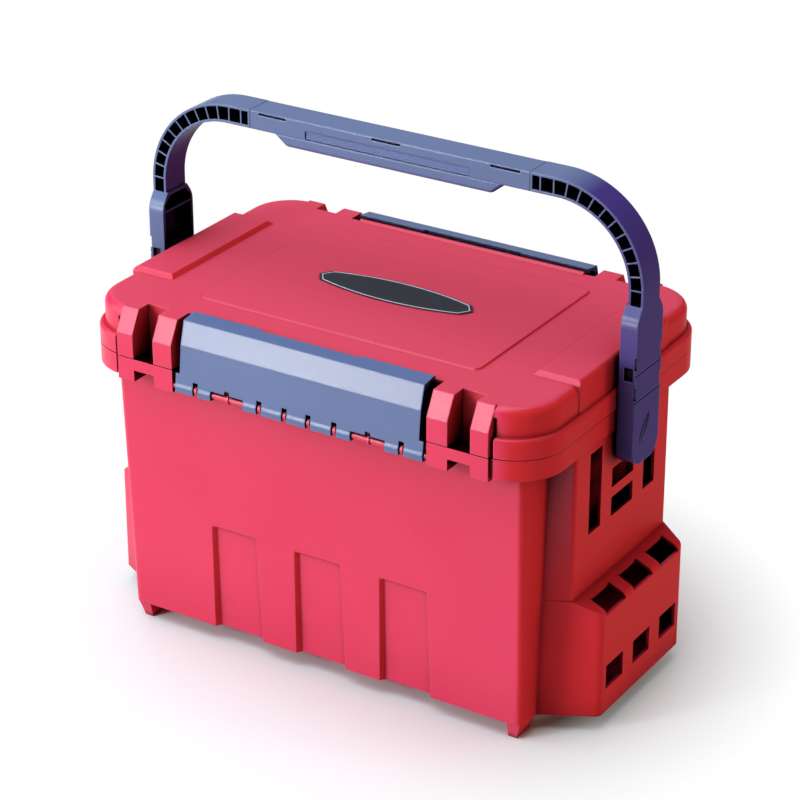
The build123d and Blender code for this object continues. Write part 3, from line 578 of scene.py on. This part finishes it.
def moulded_grain(tree, normal, depth):
    """Normal with the fine grain of a mould on it."""
    grain = tree.nodes.new("ShaderNodeBump")
    grain.inputs["Strength"].default_value = GRAIN_STRENGTH
    grain.inputs["Distance"].default_value = depth
    tree.links.new(noise(tree, *GRAIN_NOISE), grain.inputs["Height"])
    tree.links.new(normal, grain.inputs["Normal"])
    return grain.outputs["Normal"]


def noisy_roughness(tree, texture, roughness, spread):
    """Roughness that wanders between two steps below and above its value."""
    return map_range(tree, texture, *NOISE_RANGE, roughness + spread[0], roughness + spread[1])


def moulded_plastic(name, plastic, hollow, edge_radius, grain_depth, seam=None, far=None, top=None):
    """Satin moulding: flow marks, paler edges, painted shade in hollows, fine grain and rounded edges.

    A seam is the half length of a bar and the width of the dark joint at both its ends. Far is the stretch
    along x over which the colour goes to its side colour, a painted shade, and how far it goes. Top is the
    colour of a matt upper face, a painted sheen.
    """
    material, tree, shader = principled(name)
    normal, edge = rounded_edges(tree, edge_radius)
    body, matt = body_colour(tree, plastic, far, top)
    paler_edged = mix_colour(tree, edge, body, plastic.edge)
    shaded, black = shaded_hollows(tree, paler_edged, plastic, hollow)
    if seam is not None:
        shaded = mix_colour(tree, end_share(tree, *seam), shaded, blend(plastic.colour, BLACK, SEAM_DARKNESS))
    roughness = noisy_roughness(tree, noise(tree, *GLOSS_NOISE), plastic.roughness, ROUGHNESS_SPREAD)
    sheen = map_range(tree, matt, 0.0, 1.0, plastic.gloss, plastic.gloss * MATT_GLOSS)
    # Gloss goes where the painted shade turns black
    gloss = combined(tree, "MULTIPLY", sheen, share_between(tree, black, 1.0, 0.0))
    tree.links.new(shaded, shader.inputs["Base Color"])
    tree.links.new(roughness, shader.inputs["Roughness"])
    tree.links.new(moulded_grain(tree, normal, grain_depth), shader.inputs["Normal"])
    tree.links.new(gloss, shader.inputs["Specular IOR Level"])
    return material


def printed_plate(name, colour, roughness, gloss):
    """Smooth plate with faint smears in its colour and its gloss."""
    material, tree, shader = principled(name)
    smear = noise(tree, *SMEAR_NOISE)
    shade = mix_colour(tree, smear, colour, blend(colour, WHITE, SMEAR_PALER))
    tree.links.new(shade, shader.inputs["Base Color"])
    tree.links.new(noisy_roughness(tree, smear, roughness, SMEAR_SPREAD), shader.inputs["Roughness"])
    shader.inputs["Specular IOR Level"].default_value = gloss
    return material


# Operators


class SEATBOX_OT_mouldings(bpy.types.Operator):
    """Give the tub, lid, racks, buckles, handle and studs their moulded finish"""

    bl_idname = "seatbox.mouldings"
    bl_label = "Moulded finishes"

    def execute(self, context):
        finish = context.scene.seatbox_finish
        edge, grain = finish.edge_radius, finish.grain_depth
        red = Plastic(finish.red, finish.red_side_shade, finish.red_edge, finish.rough_red, finish.gloss_red)
        blue = Plastic(finish.blue, finish.blue_side_shade, finish.blue_edge, finish.rough_blue, finish.gloss_blue)
        black = Plastic(finish.stud, finish.stud, finish.blue, finish.rough_red, finish.gloss_black)
        # Painted shade on the right arm, which goes over to its side colour along x
        shade = (finish.shade_from, finish.shade_at, finish.shade_most)
        seam = (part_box("grip_bar")[1].x, context.scene.seatbox_trim.seam_width)
        tub = moulded_plastic("red_tub", red, TUB_HOLLOW, edge, grain)
        # Painted sheen: the lid's top takes its paler top colour
        lid = moulded_plastic("red_moulding", red, OPEN_HOLLOW, edge, grain, top=finish.red_top_sheen)
        # The sides of the rim and the parts of a rack are one moulding, so their joints stay unrounded and
        # get no paler edge
        joined = moulded_plastic("red_joined", red, DARK_HOLLOW, 0.0, grain)
        buckle = moulded_plastic("blue_moulding", blue, DARK_HOLLOW, edge, grain)
        arm = moulded_plastic("arm_moulding", blue, DARK_HOLLOW, edge, grain, far=shade)
        grip = moulded_plastic("grip_moulding", blue, DARK_HOLLOW, edge, grain, seam=seam)
        stud = moulded_plastic("black_moulding", black, DARK_HOLLOW, edge, grain)
        plate = printed_plate("emblem_plate_face", finish.emblem, finish.rough_plate, finish.gloss_plate)
        finishes = (
            (TUB_NODES, tub),
            (LID_NODES, lid),
            (JOINED_NODES, joined),
            (BLUE_NODES, buckle),
            (ARM_NODES, arm),
            (GRIP_NODES, grip),
            (STUD_NODES, stud),
            (PLATE_NODES, plate),
        )
        for names, material in finishes:
            for name in names:
                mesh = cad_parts[name].data
                mesh.materials.clear()
                mesh.materials.append(material)
        return {"FINISHED"}


class SEATBOX_OT_emblem_border(bpy.types.Operator):
    """Lay the pale line round the bare plate on the lid"""

    bl_idname = "seatbox.emblem_border"
    bl_label = "Emblem border"

    def execute(self, context):
        trim, finish = context.scene.seatbox_trim, context.scene.seatbox_finish
        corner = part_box("emblem_plate")[1]
        half_x, half_y = corner.x - trim.border_inset * POINT_INSETS, corner.y - trim.border_inset
        shoulder = (half_x * SHOULDER_ALONG, half_y * SHOULDER_ACROSS)
        outline = pointed_oval(half_x, half_y, *shoulder, BOW_STEPS, POINT_STEPS)
        path = np.column_stack([outline, np.full(len(outline), corner.z)])
        half, rise = trim.border_width / 2, trim.border_height
        crown = half * BORDER_CROWN
        profile = np.array([[half, 0.0], [crown, rise], [-crown, rise], [-half, 0.0], [0.0, -rise]])
        points, faces = swept_loop(path, profile, (0.0, 0.0, 1.0))
        piece = mesh_object("emblem_border", points, faces, "lid")
        line = printed_plate("emblem_border_line", finish.border, finish.rough_border, finish.gloss_plate)
        piece.data.materials.append(line)
        return {"FINISHED"}


class SEATBOX_OT_grip_ribs(bpy.types.Operator):
    """Lay fine level ribs in the sunk panels of the grip bar"""

    bl_idname = "seatbox.grip_ribs"
    bl_label = "Grip ribs"

    def execute(self, context):
        trim, finish = context.scene.seatbox_trim, context.scene.seatbox_finish
        low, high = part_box("grip_bar")
        span = np.linspace(0.0, 1.0, RIB_STEPS * trim.ribs_count + 1)
        z = low.z + trim.ribs_low + trim.ribs_height * span
        # Rib wave: rise * sin^2(pi * count * v), nought at both edges of the band
        wave = trim.ribs_rise * np.sin(math.pi * trim.ribs_count * span) ** 2
        colour = blend(finish.blue, finish.blue_edge, RIB_PALER)
        face = printed_plate("grip_ribs_face", colour, finish.rough_blue, finish.gloss_plate)
        for name, edge, side in (("grip_ribs_front", low.y, -1.0), ("grip_ribs_rear", high.y, 1.0)):
            floor = edge - side * trim.ribs_floor
            front = np.column_stack([floor + side * (wave + trim.ribs_skin), z])
            back = np.column_stack([np.full(len(z), floor - side * trim.ribs_root), z])
            points, faces = straight_plate(front, back, -trim.ribs_half, trim.ribs_half)
            piece = mesh_object(name, points, faces, "handle")
            piece.data.materials.append(face)
        return {"FINISHED"}


class SEATBOX_OT_leg_shade_pieces(bpy.types.Operator):
    """Put dark sheets behind the leg windows and dark leaves on the legs' outer faces, as painted shade"""

    bl_idname = "seatbox.leg_trim"
    bl_label = "Leg trim"

    def execute(self, context):
        trim = context.scene.seatbox_trim
        for name, side in (("left", -1.0), ("right", 1.0)):
            low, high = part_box("handle_arm_" + name)
            outer = max(abs(low.x), abs(high.x))
            self.shade_sheets(trim, name, side, outer, low, high)
            self.mark(trim, name, side, outer, low.z)
        return {"FINISHED"}

    def shade_sheets(self, trim, name, side, outer, low, high):
        """Dark plates inside a leg, behind its front and its rear window: painted shade of the leg's inside.
        """
        inner = outer - trim.leg_wall
        sill = low.z + trim.window_rise
        x = sorted((side * (inner - trim.window_width - trim.shade_sheet), side * inner))
        z = (sill - trim.shade_sheet, sill + trim.window_height + trim.shade_sheet)
        for end, edge, turn in (("front", low.y, 1.0), ("rear", high.y, -1.0)):
            y = sorted((edge + turn * trim.leg_wall, edge + turn * (trim.leg_wall + trim.shade_sheet)))
            points, faces = box_plate((x[0], y[0], z[0]), (x[1], y[1], z[1]))
            shade_sheet = mesh_object(f"leg_shade_sheet_{end}_{name}", points, faces, "handle")
            # The studs' black stands in here for the shade inside the leg
            shade_sheet.data.materials.append(bpy.data.materials["black_moulding"])

    def mark(self, trim, name, side, outer, foot_z):
        """Dark leaf on a leg's outer face: painted shade of a leaf-shaped recess."""
        top = (trim.mark_top_y, foot_z + trim.mark_top_rise)
        foot = (-trim.mark_low_y, foot_z + trim.mark_low_rise)
        edges = bowed_leaf(top, foot, trim.mark_bow, trim.mark_half, MARK_STEPS)
        ends = sorted((side * (outer - trim.mark_rise), side * (outer + trim.mark_rise)))
        points, faces = straight_plate(*edges, *ends)
        mark = mesh_object(f"leg_shade_leaf_{name}", points, faces, "handle")
        # The studs' black stands in here for the shade in the recess
        mark.data.materials.append(bpy.data.materials["black_moulding"])


class SEATBOX_OT_stage(bpy.types.Operator):
    """Set the floor, the soft lights and the camera"""

    bl_idname = "seatbox.stage"
    bl_label = "Studio"

    def execute(self, context):
        settings = context.scene.seatbox_stage
        self.floor(context, settings)
        self.world(context, settings)
        for lamp in LAMPS:
            self.lamp(context, lamp)
        self.camera(context, settings)
        context.scene.view_settings.view_transform = "Standard"
        return {"FINISHED"}

    def floor(self, context, settings):
        """Flat floor that is white to the camera and still takes the box's shadow."""
        half = settings.floor_half
        mesh = bpy.data.meshes.new("studio_floor")
        corners = [(-half, -half, 0.0), (half, -half, 0.0), (half, half, 0.0), (-half, half, 0.0)]
        mesh.from_pydata(corners, [], [(0, 1, 2, 3)])
        floor = bpy.data.objects.new("studio_floor", mesh)
        context.scene.collection.objects.link(floor)
        material, tree, shader = principled("studio_floor_white")
        shader.inputs["Base Color"].default_value = rgba(settings.floor)
        shader.inputs["Roughness"].default_value = FLOOR_ROUGHNESS
        shader.inputs["Specular IOR Level"].default_value = FLOOR_GLOSS
        self.white_beyond(tree, shader, settings)
        mesh.materials.append(material)

    def white_beyond(self, tree, shader, settings):
        """Away from the box the floor is plain white to a ray from the camera, a gloss or a clear part."""
        path = tree.nodes.new("ShaderNodeLightPath").outputs
        seen = combined(tree, "MAXIMUM", path["Is Camera Ray"], path["Is Glossy Ray"])
        seen = combined(tree, "MAXIMUM", seen, path["Is Transmission Ray"])
        place = tree.nodes.new("ShaderNodeTexCoord")
        distance = tree.nodes.new("ShaderNodeVectorMath")
        distance.operation = "LENGTH"
        tree.links.new(place.outputs["Object"], distance.inputs[0])
        far = share_between(tree, distance.outputs["Value"], settings.shadow_from, settings.shadow_to)
        white = tree.nodes.new("ShaderNodeEmission")
        mixed = tree.nodes.new("ShaderNodeMixShader")
        tree.links.new(combined(tree, "MULTIPLY", seen, far), mixed.inputs["Fac"])
        tree.links.new(shader.outputs["BSDF"], mixed.inputs[1])
        tree.links.new(white.outputs["Emission"], mixed.inputs[2])
        tree.links.new(mixed.outputs["Shader"], tree.nodes["Material Output"].inputs["Surface"])

    def world(self, context, settings):
        """Even pale surroundings at a low level."""
        world = bpy.data.worlds.new("studio_world")
        context.scene.world = world
        world.use_nodes = True
        back = world.node_tree.nodes["Background"]
        back.inputs["Color"].default_value = rgba(WHITE)
        back.inputs["Strength"].default_value = settings.around

    def lamp(self, context, lamp):
        """Soft wide lamp that looks at its target."""
        light = bpy.data.lights.new(lamp.name, "AREA")
        light.shape = "RECTANGLE"
        light.size, light.size_y = lamp.size
        light.energy = lamp.power
        light.color = lamp.tint
        holder = bpy.data.objects.new(lamp.name, light)
        context.scene.collection.objects.link(holder)
        holder.location = lamp.place
        holder.rotation_euler = (Vector(lamp.target) - Vector(lamp.place)).to_track_quat("-Z", "Y").to_euler()

    def camera(self, context, settings):
        """Camera at the height, distance and angle from which the box is shown."""
        data = bpy.data.cameras.new("studio_camera")
        data.lens = settings.lens
        data.sensor_width = settings.sensor
        data.clip_end = CAMERA_REACH
        camera = bpy.data.objects.new("studio_camera", data)
        context.scene.collection.objects.link(camera)
        camera.location = (settings.camera_x, -settings.camera_y, settings.camera_z)
        camera.rotation_euler = (math.pi / 2 - settings.elevation, 0.0, settings.azimuth)
        context.scene.camera = camera


class SEATBOX_PT_sidebar(bpy.types.Panel):
    """Sidebar panel with the box's finishes, trim and studio"""

    bl_idname = "SEATBOX_PT_sidebar"
    bl_label = "Seat box"
    bl_space_type = "VIEW_3D"
    bl_region_type = "UI"
    bl_category = "Seat box"

    def draw(self, context):
        layout = self.layout
        for operator in OPERATORS:
            layout.operator(operator.bl_idname)
        for group in (getattr(context.scene, name) for name in GROUPS):
            for name in group.__annotations__:
                layout.prop(group, name)


GROUPS = {
    "seatbox_finish": SEATBOX_PG_finish,
    "seatbox_trim": SEATBOX_PG_trim,
    "seatbox_stage": SEATBOX_PG_stage,
}
OPERATORS = (
    SEATBOX_OT_mouldings,
    SEATBOX_OT_emblem_border,
    SEATBOX_OT_grip_ribs,
    SEATBOX_OT_leg_shade_pieces,
    SEATBOX_OT_stage,
)
CLASSES = (*GROUPS.values(), *OPERATORS, SEATBOX_PT_sidebar)


def register():
    """Registers the classes and hangs their settings on the scene."""
    for cls in CLASSES:
        bpy.utils.register_class(cls)
    for name, group in GROUPS.items():
        setattr(bpy.types.Scene, name, bpy.props.PointerProperty(type=group))


def unregister():
    """Takes the settings off the scene and the classes out again."""
    for name in GROUPS:
        delattr(bpy.types.Scene, name)
    for cls in reversed(CLASSES):
        bpy.utils.unregister_class(cls)


def main():
    register()
    bpy.ops.seatbox.mouldings()
    bpy.ops.seatbox.emblem_border()
    bpy.ops.seatbox.grip_ribs()
    bpy.ops.seatbox.leg_trim()
    bpy.ops.seatbox.stage()


if __name__ == "__main__":
    main()
